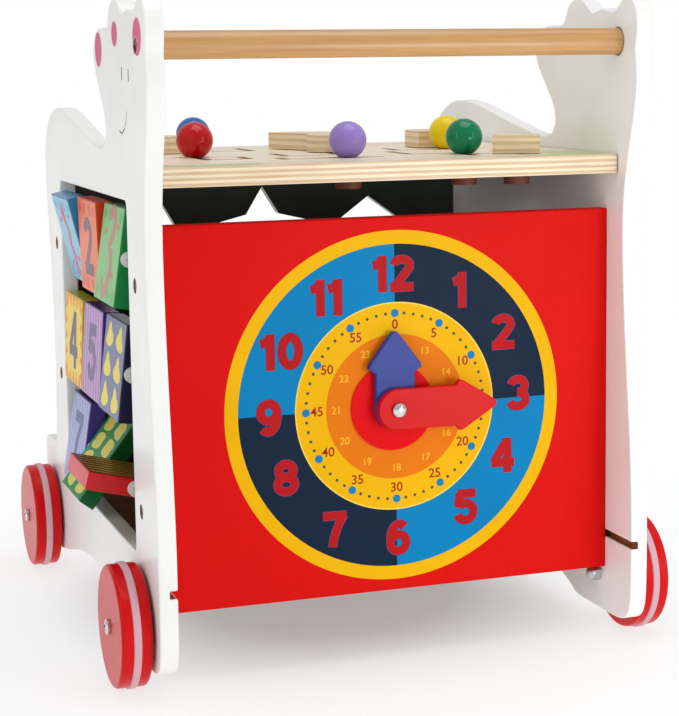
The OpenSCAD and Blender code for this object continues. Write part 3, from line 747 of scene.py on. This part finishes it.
def counted(art, number, shape, material, half_u, half_v):
    """Draws a shape as many times as the tile's number."""
    columns = 1 if number == 1 else 2 if number in (2, 4, 6, 8) else 3
    rows = math.ceil(number / columns)
    wide = min(FIGURE_WIDEST, FILL_WIDE * half_u / columns) / (max(u for u, v in shape) * 2)
    high = min(FIGURE_TALLEST, FILL_HIGH * half_v / rows) / (max(v for u, v in shape) * 2)
    sized = [(u * wide, v * high) for u, v in shape]
    for i in range(number):
        column, row = i % columns, i // columns
        u = (column + 0.5) * 2 * half_u / columns - half_u
        v = half_v - (row + 0.5) * 2 * half_v / rows
        tilt = math.radians((7, -9, 4, -5, 10)[i % 5])
        art.outline([smooth_loop(placed(sized, (u * 0.95, v * 0.94), tilt))], material, 2)


def numbered(art, number, materials, half_u, half_v):
    """Draws a tile's numeral over its pattern."""
    if number in (5, 7, 9):
        for k in range(-3, 4):
            u = k * half_u / 3.6
            art.outline([rectangle(u - 2.2, 1 - half_v, u + 2.2, half_v - 1)], materials[1], 2)
    elif number == 4:
        for k in range(-2, 3):
            middle = k * TOOTH_PITCH
            low, high = middle - TOOTH_HALF, middle + TOOTH_HALF
            for edge in (-1, 1):
                rim, tip = edge * (half_v - 1), edge * (half_v - 10)
                art.outline([[(low, rim), (high, rim), (middle, tip)]], materials[1], 2)
                rim, tip = edge * (half_u - 1), edge * (half_u - 9)
                art.outline([[(rim, low), (rim, high), (tip, middle)]], materials[1], 2)
    else:
        for k in range(8):
            at = ((-0.72, -0.3, 0.28, 0.72)[k % 4] * half_u, (0.78, -0.8)[k // 4] * half_v)
            art.outline([circle(at, 3.4, 20, 1.5, k)], materials[1], 2)
    if number in WAVY:
        art.outline(ribbon(WAVY[number], 4.2), materials[2], 3)
        for u, v in ((-17, 14), (15, -13), (-13, -19), (18, 19)):
            mark = [(0, 5.5), (2.2, -1), (0.5, -5.5), (-2.4, 0.5)]
            art.outline([placed(mark, (u, v), u / 12)], materials[2], 3)
    else:
        art.digits(str(number), (0, 0), TILE_DIGIT, materials[2], 3, 0.1)


def make_tiles():
    for number, (edge, face, second, third, shape) in TILES.items():
        node = f"tile_{number}"
        materials = [
            ink(f"tile_{number}_face", face, 0.3),
            ink(f"tile_{number}_pattern", second, 0.3),
            ink(f"tile_{number}_figure", third, 0.3),
        ]
        rounded(node, lacquer(f"tile_{number}_edge", edge, 0.3, 0.1, specular=0.25), 0.8 * MM)
        outer, inner, half_u, half_v = tile_planes(number)
        pictures_out = number in (6, 8)
        sides = (("out", outer, pictures_out), ("in", inner, not pictures_out))
        for name, plane, pictures in sides:
            art = Print(f"{node}_{name}", plane, body_of[node], slot_of[node])
            wide, high = half_u - TILE_RIM, half_v - TILE_RIM
            art.outline([rectangle(-wide, -high, wide, high)], materials[0])
            if number == 9:
                for k in range(-3, 4):
                    u, v = k * 8.8, half_v - 1.5
                    art.outline([rectangle(u - 1.3, -v, u + 1.3, v)], materials[1], 2)
                if name == "out":
                    art.digits("9", (0, 0), TILE_DIGIT, materials[2], 3, 0.1)
            elif pictures:
                counted(art, number, shape, materials[2], half_u, half_v)
            else:
                numbered(art, number, materials, half_u, half_v)
            art.press()


# ---------------------------------------------------------------- board and sliding pieces


def make_board_print():
    """Pale patches printed on the top board."""
    low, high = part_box("top_board")
    plane = Plane(((low.x + high.x) / 2, (low.y + high.y) / 2, high.z), X, Y)
    art = Print("board", plane, body_of["top_board"], slot_of["top_board"])
    green = ink("board_pale_green", "c9d2a2", 0.5)
    pink = ink("board_pale_pink", "ecd3bd", 0.5)
    patches = [
        (green, [(-150, -128), (-96, -129), (-84, -118), (-104, -108), (-128, -112), (-151, -100)]),
        (green, [(70, -126), (148, -128), (151, -84), (140, -58), (120, -78), (118, -108)]),
        (pink, [(30, 100), (60, 84), (96, 96), (92, 122), (40, 126)]),
        (pink, [(-148, 40), (-132, 20), (-128, 60), (-134, 110), (-148, 118)]),
    ]
    for patch_ink, corners in patches:
        art.outline([smooth_loop(corners)], patch_ink, 0)
    art.press()


def make_sliding_pieces():
    codes = {
        "red": "c20d10", "blue": "1f62ae", "purple": "9a84d2",
        "green": "007a50", "yellow": "f2d400",
    }
    wood = grained_wood("turned_beech", "7a3f20", "522810", (160, 160, 30), 0.6, 0.0)
    for name, code in codes.items():
        enamel = lacquer(
            f"ball_{name}_enamel", code, 0.12, 0.0, shade=0.96, grain=300.0, specular=0.3
        )
        finish_node(f"ball_{name}", enamel)
        finish_node(f"ball_retainer_{name}", wood)
    for name in ("house", "cloud", "hill", "block"):
        node = f"slider_{name}"
        low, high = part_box(node)
        ply = plywood(f"{node}_plywood", low.z, high.z - low.z, 5, "e8d2aa", "f2e0be", "d6b685")
        rounded(node, ply, 0.6 * MM, 2)
        finish_node(f"slider_retainer_{name}", wood)


# ---------------------------------------------------------------- floor, light and camera


FLOOR_HALF = 12.0
# How much the floor glows by distance from the middle, in metres
FLOOR_GLOW = [(0.1, 0.3), (0.22, 0.7), (0.5, 1.0)]
# Strength of the world's light, and what each direction adds to it
WORLD_BASE = 0.52
WORLD_GRADIENT = (("X", -0.02), ("Y", 0.04), ("Z", 0.1))
# Place, target, width, height and power of each lamp
LAMPS = {
    "key": ((1.1, -1.5, 0.7), (0, 0, 0.2), 0.4, 1.0, 2),
    "near": ((0.28, -0.8, 0.16), (0.12, -0.16, 0.14), 0.25, 0.3, 1.5),
    "fill": ((-1.7, -0.7, 0.8), (0, 0, 0.2), 0.5, 1.2, 4),
    "top": ((0.2, -0.2, 2.2), (0, 0, 0.2), 1.4, 1.4, 16),
}
CAMERA_PLACE = (-0.41091, -1.29110, 0.39409)
CAMERA_ANGLES = (19.292, 7.7255, -0.7017)  # yaw, pitch and roll in degrees


def make_floor():
    """White ground that turns into plain white away from the walker."""
    shader = Shader("studio_floor", 0.6, specular=0.2)
    cloud = shader.noise((0.8, 0.8, 0.8), 2.0)
    shader.paint_with(shader.ramp(cloud, [(0.3, colour("f7f7f7")), (0.7, colour("fafafa"))]))
    measure = shader.nodes.new("ShaderNodeVectorMath")
    measure.operation = "LENGTH"
    shader.link(shader.place, measure.inputs[0])
    stops = [(at, (part, part, part, 1)) for at, part in FLOOR_GLOW]
    away = shader.ramp(measure.outputs["Value"], stops)
    glow = shader.nodes.new("ShaderNodeEmission")
    blend = shader.nodes.new("ShaderNodeMixShader")
    shader.link(away, blend.inputs[0])
    shader.link(shader.surface.outputs[0], blend.inputs[1])
    shader.link(glow.outputs[0], blend.inputs[2])
    shader.link(blend.outputs[0], shader.nodes["Material Output"].inputs["Surface"])
    mesh = bpy.data.meshes.new("floor")
    corners = rectangle(-FLOOR_HALF, -FLOOR_HALF, FLOOR_HALF, FLOOR_HALF)
    mesh.from_pydata([(x, y, 0) for x, y in corners], [], [(0, 1, 2, 3)])
    mesh.materials.append(shader.material)
    floor = bpy.data.objects.new("floor", mesh)
    scene.collection.objects.link(floor)


def area_light(name, at, target, width, height, power):
    data = bpy.data.lights.new(name, "AREA")
    data.shape = "RECTANGLE"
    data.size, data.size_y = width, height
    data.energy = power
    lamp = bpy.data.objects.new(name, data)
    lamp.location = at
    lamp.visible_camera = False
    lamp.rotation_mode = "QUATERNION"
    lamp.rotation_quaternion = (Vector(target) - Vector(at)).to_track_quat("-Z", "Y")
    scene.collection.objects.link(lamp)


def make_light():
    """A white studio, a little brighter from above, with plain white behind the walker."""
    world = bpy.data.worlds.new("studio")
    scene.world = world
    world.use_nodes = True
    nodes, links = world.node_tree.nodes, world.node_tree.links
    sky = nodes["Background"]
    separate = nodes.new("ShaderNodeSeparateXYZ")
    links.new(nodes.new("ShaderNodeTexCoord").outputs["Generated"], separate.inputs[0])
    strength = None
    for axis, share in WORLD_GRADIENT:
        term = nodes.new("ShaderNodeMath")
        term.operation = "MULTIPLY_ADD"
        links.new(separate.outputs[axis], term.inputs[0])
        term.inputs[1].default_value = share
        if strength:
            links.new(strength, term.inputs[2])
        else:
            term.inputs[2].default_value = WORLD_BASE
        strength = term.outputs[0]
    links.new(strength, sky.inputs["Strength"])
    plain = nodes.new("ShaderNodeBackground")
    plain.inputs["Color"].default_value = (1, 1, 1, 1)
    sky.inputs["Color"].default_value = (1, 1, 1, 1)
    seen = nodes.new("ShaderNodeLightPath")
    blend = nodes.new("ShaderNodeMixShader")
    links.new(seen.outputs["Is Camera Ray"], blend.inputs[0])
    links.new(sky.outputs[0], blend.inputs[1])
    links.new(plain.outputs[0], blend.inputs[2])
    links.new(blend.outputs[0], nodes["World Output"].inputs["Surface"])
    for name, settings in LAMPS.items():
        area_light(name, *settings)


def make_camera():
    data = bpy.data.cameras.new("camera")
    data.sensor_width = 36.0
    data.lens = 93.61
    data.shift_x, data.shift_y = -0.04, -0.06
    camera = bpy.data.objects.new("camera", data)
    yaw, pitch, roll = (math.radians(a) for a in CAMERA_ANGLES)
    flat = math.cos(pitch)
    ahead = Vector((math.sin(yaw) * flat, math.cos(yaw) * flat, -math.sin(pitch)))
    level = Vector((math.cos(yaw), -math.sin(yaw), 0))
    above = level.cross(ahead)
    right = level * math.cos(roll) + above * math.sin(roll)
    up = above * math.cos(roll) - level * math.sin(roll)
    turn = Matrix((right, up, -ahead)).transposed().to_4x4()
    camera.matrix_world = Matrix.Translation(CAMERA_PLACE) @ turn
    scene.collection.objects.link(camera)
    scene.camera = camera


make_body()
make_wheels()
make_clock()
make_face()
make_tiles()
make_board_print()
make_sliding_pieces()
make_floor()
make_light()
make_camera()
scene.view_settings.view_transform = "Standard"
